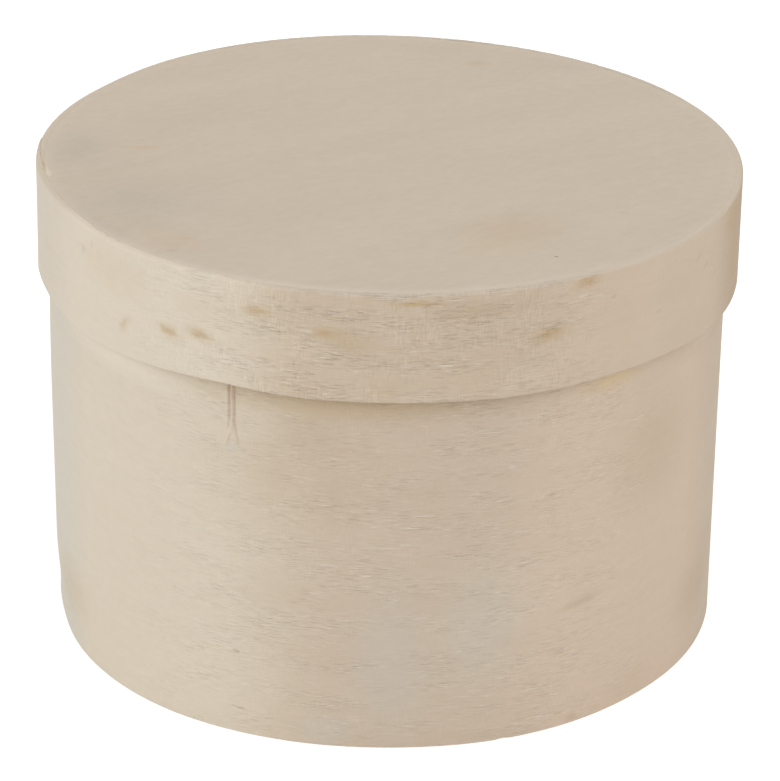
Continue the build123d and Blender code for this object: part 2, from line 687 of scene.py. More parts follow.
class Tree:
    """The nodes of a material or a world, with one way to add any node."""

    def __init__(self, owner: Union[bpy.types.Material, bpy.types.World]) -> None:
        """Starts with an empty tree.

        Args:
            owner: The material or the world.
        """
        owner.use_nodes = True
        self.owner = owner
        self.nodes = owner.node_tree.nodes
        self.links = owner.node_tree.links
        self.nodes.clear()

    def add(self, kind: str, settings: Settings = None, inputs: Inputs = None) -> bpy.types.Node:
        """Adds a node.

        Args:
            kind: Its type, without the ShaderNode in front.
            settings: Values for its properties, set first.
            inputs: Values or links for its sockets, by name or number.

        Returns:
            The node.
        """
        node = self.nodes.new("ShaderNode" + kind)
        for name, value in (settings or {}).items():
            setattr(node, name, value)
        for key, value in (inputs or {}).items():
            socket = node.inputs[key]
            if isinstance(value, Value):
                value = value.socket
            if isinstance(value, bpy.types.NodeSocket):
                self.links.new(value, socket)
            else:
                socket.default_value = value
        return node

    def value(self, kind: str, output: Key, settings: Settings = None, inputs: Inputs = None) -> Value:
        """Adds a node and wraps one of its outputs, which has a name or a number."""
        return Value(self, self.add(kind, settings, inputs).outputs[output])

    def vector(self, operation: str, *terms: Link) -> bpy.types.NodeSocket:
        """Adds one Vector Math node."""
        return self.add("VectorMath", {"operation": operation}, dict(enumerate(terms))).outputs[0]

    def mask(self) -> Value:
        """The mesh's mask, where a surface is a cut edge, worn and painted lighter, or squeezed out."""
        return self.value("Attribute", "Fac", {"attribute_name": EDGE_MASK})

    def noise(self, place: Link, layer: Layer, seed: float = 0.0) -> Value:
        """A cloudy pattern.

        Args:
            place: The coordinates, in millimetres.
            layer: The pattern.
            seed: The seed that its offset is added to.

        Returns:
            A value from 0 to 1, mostly near 0.5 where the layer has no step.
        """
        scale = tuple(1.0 / size for size in layer.cell)
        start = tuple(way * (seed + layer.offset) for way in SEED_WAY)
        scaled = self.vector("MULTIPLY_ADD", place, scale, start)
        sockets = {"Vector": scaled, "Scale": 1.0, "Detail": layer.detail, "Roughness": layer.rough}
        value = self.value("TexNoise", 0, None, sockets)
        return value.above(*layer.step) if layer.step else value

    def spot(self, place: Link, centre: Pair, reach: Pair, slant: float) -> Value:
        """An oval that fades from 1 in its middle to 0 at its reach.

        Args:
            place: The coordinates, in millimetres.
            centre: Its middle, along and across the grain.
            reach: Its half length and half height.
            slant: How far it is turned, in degrees.

        Returns:
            The oval's value.
        """
        turn = (0.0, 0.0, math.radians(slant))
        inputs = {"Vector": place, "Location": (*centre, 0.0), "Rotation": turn, "Scale": (*reach, 1.0)}
        unit = self.add("Mapping", {"vector_type": "TEXTURE"}, inputs).outputs[0]
        flat = self.vector("MULTIPLY", unit, (1.0, 1.0, 0.0))
        return self.value("VectorMath", "Value", {"operation": "LENGTH"}, {0: flat}).above(1.0, 0.0)

    def mixed(self, share: Link, first: Link, second: Link) -> bpy.types.NodeSocket:
        """The first colour mixed with a share of the second one."""
        inputs = {0: share, 6: self.colour(first), 7: self.colour(second)}
        return self.add("Mix", {"data_type": "RGBA"}, inputs).outputs[2]

    def scaled(self, colour: Link, factor: Link) -> bpy.types.NodeSocket:
        """A colour made lighter or darker by a factor, more so in its weaker channels, so that a dark fibre
        looks brown and not grey: each channel's own factor is 1 plus its swing times (factor - 1).

        Args:
            colour: The colour.
            factor: The factor, near 1.

        Returns:
            The new colour.
        """
        rest = tuple(1.0 - swing for swing in CHANNEL_SWING)
        return self.vector("MULTIPLY", colour, self.vector("MULTIPLY_ADD", factor, CHANNEL_SWING, rest))

    @staticmethod
    def colour(value: Link) -> Link:
        """A plain colour with its fourth channel, or the link as it is."""
        return (*value, 1.0) if isinstance(value, tuple) else value

    def finish(
        self, colour: Link, roughness: Link, height: Value, relief: float, **fixed: float
    ) -> bpy.types.Material:
        """Ends the tree in a Principled shader.

        Args:
            colour: The base colour.
            roughness: The roughness.
            height: The relief's pattern.
            relief: How high the pattern stands where it is 1, in millimetres.
            fixed: Values for sockets that are the same all over.

        Returns:
            The material.
        """
        bump = self.add("Bump", None, {"Strength": 1.0, "Distance": relief * MM, "Height": height})
        inputs = {"Base Color": colour, "Roughness": roughness, "Normal": bump.outputs[0]}
        inputs.update({name.replace("_", " "): value for name, value in fixed.items()})
        shader = self.add("BsdfPrincipled", None, inputs)
        self.add("OutputMaterial", None, {"Surface": shader.outputs[0]})
        return self.owner


# Finishes

class Tint(Enum):
    """What a mark in the wood is coloured with."""

    KNOT = (0.38, 0.22, 0.09)
    AMBER = (0.58, 0.42, 0.235)
    TAN = (0.52, 0.40, 0.265)
    RUSSET = (0.545, 0.42, 0.30)
    GREY = (0.62, 0.545, 0.465)
    SHADE = (0.50, 0.445, 0.365)
    DARK = (0.24, 0.17, 0.11)
    CREAM = (0.755, 0.655, 0.53)
    PEACH = (0.725, 0.58, 0.45)
    MILK = (0.655, 0.61, 0.535)
    CHALK = (0.87, 0.775, 0.645)
    STRAW = (0.79, 0.60, 0.28)


@dataclass(frozen=True)
class Mark:
    """A knot, a stain or a scratch in the wood, or a painted shade or painted highlight: an oval on a strip,
    placed by angle and height, or on a board, placed by X and Y."""

    first: float
    second: float
    half_length: float
    half_height: float
    tint: Tint
    depth: float
    slant: float = 0.0


def pin_knot(
    first: float, second: float, size: float = 1.0, depth: float = 1.0, slant: float = 0.0
) -> tuple[Mark, Mark]:
    """The foot of a thin twig: an amber halo and a brown core.

    Args:
        first: Its angle or X.
        second: Its height or Y.
        size: Its size, where 1 is about 3 mm long.
        depth: How dark it is, up to 1.
        slant: How far it is turned, in degrees.

    Returns:
        The two marks.
    """
    halo = Mark(first, second, 3.9 * size, 1.75 * size, Tint.AMBER, 0.62 * depth, slant)
    core = Mark(first - 0.2, second, 2.2 * size, 1.0 * size, Tint.KNOT, 0.24 * depth, slant)
    return halo, core


@dataclass(frozen=True)
class Stretch:
    """A stretch of a strip, in angles round the box: from 0 at the start to 1 between its two inner angles,
    and back to 0 at the end."""

    start: float
    full_from: float
    full_to: float
    end: float
    tint: Tint = Tint.CREAM
    depth: float = 1.0


class Pattern(Enum):
    """The patterns that the look of wood is built up from: the drift of its tone, its fine fibres and
    checks, and the open pores and gleams with the places where they crowd and where the wood is torn."""

    CLOUD = Layer((34.0, 19.0, 30.0), 0.0, 3.0, 0.55)
    STREAK = Layer((22.0, 1.5, 8.0), 3.0, 3.0, 0.62)
    BAND = Layer((60.0, 7.0, 20.0), 5.0)
    BLOTCH = Layer((2.6, 1.3, 2.0), 6.0, 2.0, 0.6)
    FIBRE = Layer((1.9, 0.17, 1.0), 7.0, 1.0)
    CHECK = Layer((0.2, 1.6, 1.0), 9.0, 1.0)
    PORE = Layer((2.6, 0.2, 2.0), 11.0, 1.0, 0.4, step=(0.56, 0.72))
    GLEAM = Layer((2.4, 0.19, 2.0), 12.0, 1.0, 0.4, step=(0.56, 0.72))
    CROWD = Layer((11.0, 3.5, 7.0), 13.0, step=(0.30, 0.68))
    TORN = Layer((4.0, 7.0, 7.0), 14.0, step=(0.42, 0.66))


@dataclass(frozen=True, kw_only=True)
class Wood:
    """Raw sanded wood. Its colour drifts between two tones in broad clouds and long streaks, with short
    dashes along the grain where the knife opened the pores, fine fibres, and faint checks across them.
    Where the wood is lively, the fine pattern is stronger, and the raised gleams along the grain get a
    painted highlight.

    The strengths of the patterns are shares of the tone. Calm is the fine pattern's share where the wood
    isn't lively, sparse the fibres' share outside their crowds, and sound the checks' share where nothing
    is torn. Matt is the roughness, and the sheen is how far the fibres move it. The relief is the height,
    in millimetres, of which carving and hewn are shares."""

    name: str
    pale: Colour
    deep: Colour
    seed: float
    marks: tuple[Mark, ...]
    clouds: float
    streaks: float
    blotches: float
    fibres: float
    dashes: float
    checks: float
    calm: float
    carving: float
    relief: float
    # the colour of the painted highlight on the raised gleams along the grain
    gleam_highlight: Colour = (0.825, 0.73, 0.60)
    bands: float = 0.6
    gleams: float = 6.5
    pits: float = 0.8
    grain_tone: float = 0.05
    sparse: float = 0.4
    sound: float = 0.3
    hewn: float = 0.3
    matt: float = 0.86
    sheen: float = 0.12
    specular: float = 0.3
    tone_step: Pair = (-0.2, 1.2)
    waver: Triple = (2.2, 0.7, 0.0)

    def place(self, tree: Tree) -> bpy.types.NodeSocket:
        """The grain coordinates, in millimetres."""
        raise NotImplementedError

    def placed(self, mark: Mark) -> tuple[Pair, float]:
        """A mark's middle and its slant in grain coordinates."""
        raise NotImplementedError

    def stretched(self, tree: Tree, place: Link, colour: Link) -> Link:
        """The colour with the broad stretches of another tone laid over it."""
        return colour

    def liveliness(self, tree: Tree, place: Link) -> Link:
        """How strong the fine pattern is, from 0 where the wood is calm to 1."""
        return 1.0

    def with_cut_edges(self, tree: Tree, place: Link, colour: Link, tone: Link) -> tuple[Link, Link]:
        """The colour and the tone, changed where the surface is a cut edge."""
        return colour, tone

    def material(self) -> bpy.types.Material:
        """Builds the material.

        Returns:
            The wood's material.
        """
        tree = Tree(bpy.data.materials.new(self.name))
        place = self.place(tree)
        cloud, streak, band, blotch, fibre, check, pore, gleam, crowd, torn = (
            tree.noise(place, pattern.value, self.seed) for pattern in Pattern
        )
        dash, gleam = pore * crowd, gleam * crowd
        streak, fibre, check = streak - 0.5, fibre - 0.5, check - 0.5

        share = 0.5 + self.clouds * (cloud - 0.5) + self.streaks * streak + self.bands * (band - 0.5)
        colour = tree.mixed(share.above(*self.tone_step), self.pale, self.deep)
        wavered = self.wavering(tree, place)
        colour = self.stretched(tree, wavered, colour)
        for mark in self.marks:
            centre, slant = self.placed(mark)
            oval = tree.spot(wavered, centre, (mark.half_length, mark.half_height), slant)
            colour = tree.mixed(oval * mark.depth, colour, mark.tint.value)
        lively = self.calm + (1.0 - self.calm) * self.liveliness(tree, place)
        # painted highlight: the raised gleams along the grain are lightened in colour as if lit
        colour = tree.mixed(lively * gleam * (self.gleams * self.dashes), colour, self.gleam_highlight)
        strand = fibre * (self.sparse + crowd)
        fine = self.fibres * strand - self.pits * self.dashes * dash
        fine = fine + self.checks * check * (self.sound + torn)
        tone = 1.0 + lively * fine + self.blotches * (blotch - 0.5) + self.grain_tone * streak
        colour, tone = self.with_cut_edges(tree, place, colour, tone)
        grain = self.hewn * (strand + check * torn) + self.carving * (gleam - dash)
        height = lively * grain + self.hewn * streak
        roughness = self.matt + self.sheen * fibre
        colour = tree.scaled(colour, tone)
        return tree.finish(colour, roughness, height, self.relief, Specular_IOR_Level=self.specular)

    def wavering(self, tree: Tree, place: Link) -> bpy.types.NodeSocket:
        """The coordinates moved about a little, so that a mark has a soft uneven outline.

        Args:
            tree: The material's nodes.
            place: The coordinates.

        Returns:
            The moved coordinates.
        """
        shift = tree.add("TexNoise", None, {"Vector": place, "Scale": 0.9, "Detail": 2.0}).outputs[1]
        centred = tree.vector("SUBTRACT", shift, (0.5, 0.5, 0.5))
        return tree.vector("MULTIPLY_ADD", centred, self.waver, place)


@dataclass(frozen=True, kw_only=True)
class StripWood(Wood):
    """The wood of a bent strip, with its grain along the strip. Its cut edges show thin layers. The lower
    one is paler than the face, as raw cut wood and with a painted highlight where it catches the light.
    The upper one was sanded and handled, so it is as grey as the boards but for a fresh stretch, from a
    little below the strip's top."""

    strip: Strip
    stretches: tuple[Stretch, ...]
    lively: tuple[Stretch, ...]
    handled: Colour = (0.60, 0.51, 0.41)
    fresh: Stretch = Stretch(198.0, 214.0, 244.0, 256.0)
    upper_from: float = 2.0
    upper_full: float = 1.0
    greyness: float = 0.9
    freshness: float = 0.6
    layers: Layer = Layer((6.0, 0.12, 1.0), 17.0, 1.0)

    def place(self, tree: Tree) -> bpy.types.NodeSocket:
        """The strip's own grain map."""
        return tree.add("UVMap", {"uv_map": GRAIN_MAP}).outputs[0]

    def placed(self, mark: Mark) -> tuple[Pair, float]:
        """A mark's distance along the strip and height, and its slant as the winding turns it."""
        return self.strip.grain_place(mark.first, mark.second), self.strip.lap.winding.value * mark.slant

    def within(self, tree: Tree, place: Link, stretch: Stretch) -> Value:
        """How far a place lies within a stretch of the strip.

        Args:
            tree: The material's nodes.
            place: The grain coordinates.
            stretch: The stretch, in angles round the box.

        Returns:
            A value from 0 outside to 1 between the stretch's two inner angles.
        """
        along = tree.value("SeparateXYZ", 0, None, {0: place})
        middle = (stretch.full_from + stretch.full_to) / 2.0
        centre = self.strip.grain_place(middle, 0.0)[0]
        per_degree = self.strip.lap.winding.value * math.radians(1.0) * self.strip.outer
        start, full_from, full_to, end = (
            centre + per_degree * (angle - middle)
            for angle in (stretch.start, stretch.full_from, stretch.full_to, stretch.end)
        )
        return along.above(start, full_from) * along.above(end, full_to)

    def stretched(self, tree: Tree, place: Link, colour: Link) -> Link:
        """Lays the strip's stretches over the colour.

        Args:
            tree: The material's nodes.
            place: The grain coordinates.
            colour: The colour.

        Returns:
            The new colour.
        """
        for stretch in self.stretches:
            share = self.within(tree, place, stretch) * stretch.depth
            colour = tree.mixed(share, colour, stretch.tint.value)
        return colour

    def liveliness(self, tree: Tree, place: Link) -> Link:
        """1 in the strip's lively stretches."""
        return sum(self.within(tree, place, stretch) * stretch.depth for stretch in self.lively)

    def with_cut_edges(self, tree: Tree, place: Link, colour: Link, tone: Link) -> tuple[Link, Link]:
        """The colour and the tone, changed where the mesh's mask marks a cut edge.

        Args:
            tree: The material's nodes.
            place: The grain coordinates.
            colour: The colour of the face.
            tone: Its tone.

        Returns:
            The new colour and tone.
        """
        edge = tree.mask()
        across = tree.value("SeparateXYZ", 1, None, {0: place})
        upper = edge * across.above(self.strip.top - self.upper_from, self.strip.top - self.upper_full)
        layer = tree.noise(place, self.layers, self.seed)
        grey = self.greyness - self.freshness * self.within(tree, place, self.fresh)
        colour = tree.mixed(upper * grey, colour, self.handled)
        # cut edges paler: raw cut wood, and on the lower edge a painted highlight; the handled upper edge is
        # darker
        return colour, tone + edge * (0.10 * (layer - 0.5) + 0.07) - upper * 0.05


@dataclass(frozen=True, kw_only=True)
class BoardWood(Wood):
    """The wood of a round board, whose grain runs straight across it at an angle from +X."""

    grain_angle: float

    def place(self, tree: Tree) -> bpy.types.NodeSocket:
        """The grain coordinates: the object's own in millimetres, turned to run with the grain.

        Args:
            tree: The material's nodes.

        Returns:
            The coordinates.
        """
        where = tree.add("TexCoord").outputs["Object"]
        turn = (0.0, 0.0, math.radians(self.grain_angle))
        inputs = {"Vector": where, "Rotation": turn, "Scale": (MM, MM, MM)}
        return tree.add("Mapping", {"vector_type": "TEXTURE"}, inputs).outputs[0]

    def placed(self, mark: Mark) -> tuple[Pair, float]:
        """Turns a mark back by the grain's angle.

        Args:
            mark: The mark, placed by X and Y.

        Returns:
            Its middle along and across the grain, and its slant from the grain.
        """
        turn = math.radians(self.grain_angle)
        along = mark.first * math.cos(turn) + mark.second * math.sin(turn)
        across = mark.second * math.cos(turn) - mark.first * math.sin(turn)
        return (along, across), mark.slant - self.grain_angle

    def with_cut_edges(self, tree: Tree, place: Link, colour: Link, tone: Link) -> tuple[Link, Link]:
        """The colour and the tone, a little paler in the band inside the edge where the board was sanded
        down with its rim, which also paints light over the joint's shade.
        """
        return colour, tone + 0.1 * tree.mask()


@dataclass(frozen=True)
class DriedGlue:
    """Dried wood glue: full of sanding dust where it is a thin skin in a joint, and amber yellow and a
    little cloudy where it was squeezed out. The mesh's mask is 1 there."""

    name: str = "dried_glue"
    dusty: Colour = (0.59, 0.505, 0.405)
    thin: Colour = (0.62, 0.52, 0.33)
    thick: Colour = (0.50, 0.38, 0.19)
    pools: Layer = Layer((2.2, 2.2, 2.2), 2.0, 3.0, step=(0.35, 0.7))
    ripples: Layer = Layer((0.5, 0.5, 0.8), 4.0)
    relief: float = 0.05

    def material(self) -> bpy.types.Material:
        """Builds the material.

        Returns:
            The glue's material.
        """
        tree = Tree(bpy.data.materials.new(self.name))
        where = tree.add("TexCoord").outputs["Object"]
        place = tree.add("VectorMath", {"operation": "SCALE"}, {0: where, "Scale": 1.0 / MM}).outputs[0]
        squeezed = tree.mask()
        pool, ripple = tree.noise(place, self.pools), tree.noise(place, self.ripples)
        colour = tree.mixed(squeezed, self.dusty, tree.mixed(pool, self.thin, self.thick))
        return tree.finish(colour, 0.8 - squeezed * (0.3 + 0.2 * ripple), ripple, self.relief)


@dataclass(frozen=True)
class StudioWhite:
    """The white sweep that the box stands on. The camera sees it lifted to white, and it keeps the shadow.
    It is clear from below, and to a surface within the touching distance, in metres, so that light comes
    to the underside."""

    name: str = "studio_white"
    paint: float = 0.80
    seen_paint: float = 0.62
    seen_glow: float = 0.60
    touching: float = 0.0004

    def material(self) -> bpy.types.Material:
        """Builds the material.

        Returns:
            The floor's material.
        """
        tree = Tree(bpy.data.materials.new(self.name))
        paint = tree.add("BsdfDiffuse", None, {"Color": (self.paint,) * 3 + (1.0,)})
        seen = tree.add("BsdfDiffuse", None, {"Color": (self.seen_paint,) * 3 + (1.0,)})
        glow = tree.add("Emission", None, {"Color": (1.0, 1.0, 1.0, 1.0), "Strength": self.seen_glow})
        shown = tree.add("AddShader", None, {0: seen.outputs[0], 1: glow.outputs[0]})
        rays = tree.add("LightPath")
        share = seen_by_camera(tree, rays)
        above = tree.add("MixShader", None, {0: share, 1: paint.outputs[0], 2: shown.outputs[0]})
        clear = tree.add("BsdfTransparent")
        back = tree.value("NewGeometry", "Backfacing")
        resting = Value(tree, rays.outputs["Ray Length"]).above(2.0 * self.touching, self.touching)
        open_share = (back + resting).at_most(1.0)
        shader = tree.add("MixShader", None, {0: open_share, 1: above.outputs[0], 2: clear.outputs[0]})
        tree.add("OutputMaterial", None, {"Surface": shader.outputs[0]})
        return tree.owner


def seen_by_camera(tree: Tree, rays: bpy.types.Node) -> Value:
    """Tells the camera's rays from the light's.

    Args:
        tree: The material's nodes.
        rays: The node that knows the rays.

    Returns:
        1 for a ray from the camera, also by way of a mirror or through glass.
    """
    kinds = ("Is Camera Ray", "Is Glossy Ray", "Is Transmission Ray")
    camera, glossy, through = (Value(tree, rays.outputs[name]) for name in kinds)
    return (camera + glossy + through).at_most(1.0)


# The box's two halves

class Piece:
    """What every finished piece needs: a body that it rides on, a node that it stands for, and its material.
    """

    @staticmethod
    def settle(
        sheet: Sheet, name: str, body: str, node: str, slot: str, paint: bpy.types.Material
    ) -> bpy.types.Object:
        """Makes a piece and joins it to the frame.

        Args:
            sheet: Its surface.
            name: Its name.
            body: The body that it rides on.
            node: The node that it stands for.
            slot: Its material slot in the record. It is not used.
            paint: Its material.

        Returns:
            The piece.
        """
        piece = sheet.into_object(name)
        piece.data.materials.append(paint)
        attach(piece, body)
        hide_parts(node)
        log.info("%s: %d faces, for %s", name, len(piece.data.polygons), node)
        return piece


def node_span(node: str) -> tuple[Vector, Vector]:
    """A node's lowest and highest corners, in millimetres."""
    low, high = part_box(node)
    return low / MM, high / MM


# How many rings of points a board's face has and how many points its edge, and how far inside the edge the
# pale band of wear and painted light begins and how far inside it is full
RING_COUNT = 44
ARC_POINTS = 5
WEAR_AND_LIGHT_REACH = 1.8
WEAR_AND_LIGHT_FULL = 0.4


def disc_surface(
    edge: np.ndarray, angles: np.ndarray, levels: Pair, edge_round: float, warp: Relief, wear_and_light: Numbers = 0.0
) -> Sheet:
    """A round board as one closed surface: rings of points from the middle of its top, out over the edge
    and back to the middle of its underside.

    Point (i, j) is at angle i and at ring j's share of the edge radius there. The height is the face's
    level, plus the warp at that place on the top face, and the edge is rounded off by quarter circles.

    Args:
        edge: The board's radius at each angle.
        angles: The angles, which stop one step short of a whole turn.
        levels: The heights of the underside and the top.
        edge_round: The rounding of both edges.
        warp: A function of X and Y that gives how far the top stands above its level.
        wear_and_light: How worn the top is beside its edge at each angle, with painted light there.
            It fades inwards, and is the surface's mask.

    Returns:
        The surface, with X and Y for grain coordinates.
    """
    low, high = levels
    shares = np.sqrt(np.linspace(0.0, 1.0, RING_COUNT))[1:-1]
    arc = np.linspace(0.0, math.pi / 2.0, ARC_POINTS)
    radius = edge[:, None]
    flat = (radius - edge_round) * shares
    top = np.concatenate([flat, radius - edge_round * (1.0 - np.sin(arc))], axis=1)
    radii = np.concatenate([top, top[:, ::-1]], axis=1)
    drop = np.concatenate([np.zeros(shares.size), edge_round * (1.0 - np.cos(arc))])
    heights = np.concatenate([high - drop, (low + drop)[::-1]])[None, :] * np.ones_like(radii)
    points = round_points(radii, heights, angles[:, None])
    upper_share = (heights - low) / (high - low)
    points[..., 2] += warp(points[..., 0], points[..., 1]) * upper_share
    rows, columns = radii.shape
    quads = woven_faces(rows, columns, True, ring=True)
    poles = np.array([[0.0, 0.0, high + float(warp(0.0, 0.0))], [0.0, 0.0, low]])
    everything = np.concatenate([points.reshape(-1, 3), poles])
    # the pale band inside the board's edge: sanding wear and painted light over the joint's shade
    worn = np.reshape(wear_and_light, (-1, 1)) * ramp(radius - radii, WEAR_AND_LIGHT_REACH, WEAR_AND_LIGHT_FULL) * (upper_share > 0.9)
    inner_top = np.arange(rows) * columns
    inner_low = inner_top + columns - 1
    top_pole, low_pole = rows * columns, rows * columns + 1
    top_fan = np.stack([np.full(rows, top_pole), inner_top, np.roll(inner_top, -1)], axis=-1)
    low_fan = np.stack([np.full(rows, low_pole), np.roll(inner_low, -1), inner_low], axis=-1)
    triangles = np.concatenate([top_fan, low_fan])
    flat_place = everything[:, :2]
    mask = np.append(worn.ravel(), [0.0, 0.0])
    return Sheet(everything, quads, flat_place[quads], triangles, flat_place[triangles], mask)


@dataclass(frozen=True)
class Fineness:
    """How finely a strip is divided: how many places it has along it and how many rows up its face, the
    share of the face that the rows leave free at either edge, and where places and rows draw together, as
    a middle, a reach and a gain. The middles are angles round the box and shares of the way up."""

    places: int
    rows: int
    margin: float
    crowded_angles: Spots
    crowded_rows: Spots

    def sheet(self, strip: Strip, relief: Optional[Relief] = None) -> Sheet:
        """Divides a strip.

        Args:
            strip: The strip.
            relief: How far its outer face stands proud, by angle and height, or None.

        Returns:
            The strip's surface.
        """
        spots = [(float(strip.along(angle)), reach, gain) for angle, reach, gain in self.crowded_angles]
        places = crowded(self.places, 0.0, FULL_TURN + strip.scarf_angle, spots)
        shares = crowded(self.rows, self.margin, 1.0 - self.margin, self.crowded_rows)
        return strip_surface(strip, places, HalfSection.with_rows(shares), relief)


@dataclass(frozen=True)
class Bead:
    """The glue round a board: a skin in the joint, and a bead in the corner. The bead's width wanders along
    an unsteady line, and its height is never less than a share. The overlap is how far the skin reaches
    into the strip's face, so that no slit stays open."""

    width: float
    skin: float
    overlap: float
    wander: float
    line: Wobble
    least: float = 0.4

    def wandering(self, angles: np.ndarray) -> np.ndarray:
        """The width at these angles as a column, as a share of the usual one: 1 plus the wandering line."""
        return 1.0 + self.wander * self.line.at(angles)[:, None]


@dataclass(frozen=True)
class Ridge:
    """A thin ridge that comes down the wall, or a groove where its rise is below 0. Its middle and width are
    measured across it, and they change by the drift and the spread where the fork is wide open. Downwards
    it fades from its full height on the wall to the one where it is gone."""

    middle: float
    width: float
    rise: float
    gone: float
    full: float
    drift: float = 0.0
    spread: float = 0.0
    in_fork: bool = False


@dataclass(frozen=True)
class TornFibre:
    """The torn fibre at the front left of the wall. It comes down from under the lid as a thin ridge between
    grooves. Lower down it forks: the ridge's left prong and the right groove run apart, with a low web
    between them, and both end in the face. Each pair is the heights where a change starts and ends."""

    radius: float
    angle: float = 244.87
    top: Pair = (69.0, 66.0)
    fork: Pair = (56.6, 53.2)
    stem_end: Pair = (56.6, 54.8)
    ridges: tuple[Ridge, ...] = (
        Ridge(0.0, 0.24, 0.26, 54.8, 56.6),
        Ridge(-0.95, 0.3, 0.16, 54.8, 56.6),
        Ridge(1.2, 0.2, 0.12, 59.5, 61.0),
        Ridge(0.0, 0.22, 0.26, 52.2, 53.4, drift=-1.05, in_fork=True),
        Ridge(0.0, 0.4, 0.08, 52.2, 53.4, spread=0.5, in_fork=True),
        Ridge(-0.48, 0.16, -0.27, 55.6, 58.5),
        Ridge(0.42, 0.14, -0.27, 52.2, 53.4, drift=0.85, spread=0.2),
        Ridge(0.92, 0.13, -0.13, 60.4, 61.4),
    )

    def relief(self, degrees: Numbers, heights: Numbers) -> np.ndarray:
        """How far the fibre stands proud: the sum of its ridges, each a bell across it.

        Args:
            degrees: Angles round the box.
            heights: Heights.

        Returns:
            The rise in millimetres.
        """
        across = np.radians(turned(degrees - self.angle)) * self.radius
        open_share, fork_share = ramp(heights, *self.fork), ramp(heights, *self.stem_end)
        total = np.zeros_like(across * open_share)
        for ridge in self.ridges:
            middle = ridge.middle + ridge.drift * open_share
            bell = swell((across - middle) / (ridge.width + ridge.spread * open_share))
            share = ramp(heights, ridge.gone, ridge.full) * (fork_share if ridge.in_fork else 1.0)
            total = total + ridge.rise * bell * share
        return total * ramp(heights, *self.top)


@dataclass
class BoxBody:
    """The lower half: a tall wall with a board in its foot. The board gap is the play between the two, the
    sag is how hollow the glue's face is in its middle, as a share, the skin foot is how far above the foot
    the glue begins, and the lap inset is how far the lap's glue stays from the edges."""

    lap: Lap = Lap(angle=104.0, winding=Winding.COUNTER_CLOCKWISE, scarf=16.0)
    bulges: tuple[Bulge, ...] = (
        Bulge(191.0, 2.5, 12.0, 6.2, -0.72),
        Bulge(188.0, 48.0, 22.0, 24.0, 0.32),
        Bulge(231.0, 2.0, 20.0, 10.0, 0.52),
        Bulge(273.0, 2.0, 12.0, 12.0, -0.25),
        Bulge(318.0, 2.0, 12.0, 10.0, -0.2),
        Bulge(60.0, 40.0, 60.0, 40.0, -0.2),
        Bulge(320.0, 70.0, 40.0, 30.0, 0.12),
    )
    foot_dips: tuple[Dip, ...] = (Dip(290.6, 1.0, 0.18),)
    crest_dips: tuple[Dip, ...] = (Dip(40.0, 30.0, -0.12), Dip(205.0, 50.0, -0.1))
    fineness: Fineness = Fineness(
        places=900,
        rows=60,
        margin=0.004,
        crowded_angles=((244.87, 1.7, 6.0),),
        crowded_rows=((0.0, 0.01, 12.0), (1.0, 0.01, 12.0), (0.685, 0.03, 6.0)),
    )
    board_gap: float = 0.06
    board_round: float = 0.2
    bead: Bead = Bead(width=1.15, skin=0.16, overlap=0.05, wander=0.32, line=Wobble(0.6, 3, 40, 21))
    sag: float = 0.403
    skin_foot: float = 0.25
    lap_inset: float = 0.1

    def __post_init__(self) -> None:
        """Reads the half's sizes from the frame."""
        wall_low, wall_high = node_span("wall_ring")
        glue_high = node_span("base_board_glue")[1]
        board_low, board_high = node_span("base_board")
        self.wall = Strip(
            inner=glue_high.x,
            outer=wall_high.x,
            bottom=wall_low.z,
            top=wall_high.z,
            lap=self.lap,
            edge_round=0.3,
            inner_round=0.15,
            bulges=self.bulges,
            foot_dips=self.foot_dips,
            crest_dips=self.crest_dips,
            fray=0.02,
        )
        self.board_levels = (board_low.z, board_high.z)
        self.bead_top = glue_high.z

    def board_sheet(self) -> Sheet:
        """Draws the base board.

        Returns:
            Its surface.
        """
        angles = np.arange(0.0, FULL_TURN, 0.75)
        edge = self.wall.inside_radius(angles, self.board_levels[0]) - self.board_gap
        return disc_surface(edge, angles, self.board_levels, self.board_round, lambda x, y: 0.0 * x)

    def bead_sheet(self) -> Sheet:
        """Draws the glue round the base board, with its bead in the corner above it. The bead's face runs
        from the wall to the board and sags between them, by the sag times the sine of the way.

        Returns:
            Its surface.
        """
        angles = np.arange(0.0, FULL_TURN, 0.6)
        low, high = self.board_levels
        wander = self.bead.wandering(angles)
        wall_side = self.wall.inside_radius(angles, high)[:, None] + self.bead.overlap
        board_side = wall_side - self.bead.skin
        tall = (self.bead_top - high) * np.clip(wander, self.bead.least, 1.0)
        way = np.linspace(0.0, 1.0, 7)[None, :]
        hollow = 1.0 - self.sag * np.sin(math.pi * way)
        face_radius = wall_side - self.bead.width * wander * way * hollow
        face_height = high + tall * (1.0 - way) * hollow
        foot = np.full_like(wall_side, low + self.skin_foot)
        tuck = np.full_like(wall_side, high - 0.1)
        radii = np.concatenate([board_side, wall_side, face_radius, board_side], axis=1)
        heights = np.concatenate([foot, foot, face_height, tuck], axis=1)
        return closed_ring(radii, heights, angles, np.ones_like(radii))

    def build(self, veneer: bpy.types.Material, board: bpy.types.Material, glue: bpy.types.Material) -> None:
        """Makes and dresses every piece of this half.

        Args:
            veneer: The wall's material.
            board: The base board's material.
            glue: The glue's material.
        """
        wall = self.fineness.sheet(self.wall, TornFibre(self.wall.outer).relief)
        lap = lap_glue_sheet(self.wall, self.lap_inset)
        Piece.settle(wall, "wall_strip", "box", "wall_ring", "wall_veneer", veneer)
        Piece.settle(self.board_sheet(), "base_disc", "box", "base_board", "board_wood", board)
        Piece.settle(self.bead_sheet(), "base_glue_bead", "box", "base_board_glue", "dried_glue", glue)
        Piece.settle(lap, "wall_lap_glue_line", "box", "wall_lap_glue", "dried_glue", glue)


# How many places the glue in a lap has along it and how many rows, the width of the bead that comes out of
# it, and the shares of that width where it has a row of points
LAP_PLACES = 24
LAP_ROWS = 60
LAP_BEAD = 0.45
LAP_BEAD_ROWS = (0.3, 0.7, 1.0)


